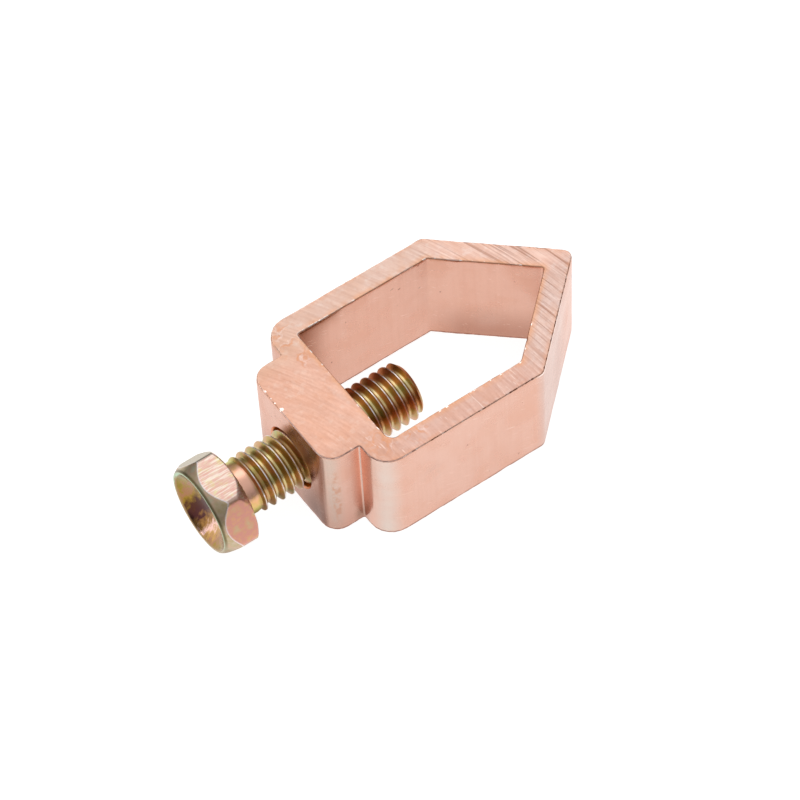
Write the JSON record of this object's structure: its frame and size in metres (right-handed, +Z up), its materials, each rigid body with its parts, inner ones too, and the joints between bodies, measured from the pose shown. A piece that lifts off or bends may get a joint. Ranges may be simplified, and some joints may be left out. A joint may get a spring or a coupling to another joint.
{
  "type": "earth rod clamp",
  "caption": "Earth rod clamp: a pointed copper ring with a boss, and a hexagon bolt that presses a ground rod and its wire into the point.",
  "frame": {"origin": "on the lower sawn face, midway along the shoulder line where the boss meets the ring", "axes": "+Y from the boss to the point of the ring, along the bolt; +X across the ring; +Z up along the sawn length"},
  "size_m": [0.031, 0.0674, 0.0185],
  "materials": {
    "copper": "sawn and drawn, satin",
    "yellow_zinc": "yellow passivated zinc plating"
  },
  "bodies": {
    "clamp": {"clamp_body": "copper"},
    "screw": {"bolt": "yellow_zinc"}
  },
  "joints": [
    {"name": "screw_travel", "type": "slide", "parent": "clamp", "child": "screw", "axis": [0, 1, 0], "range_m": [-0.01588, 0.00635]}
  ]
}
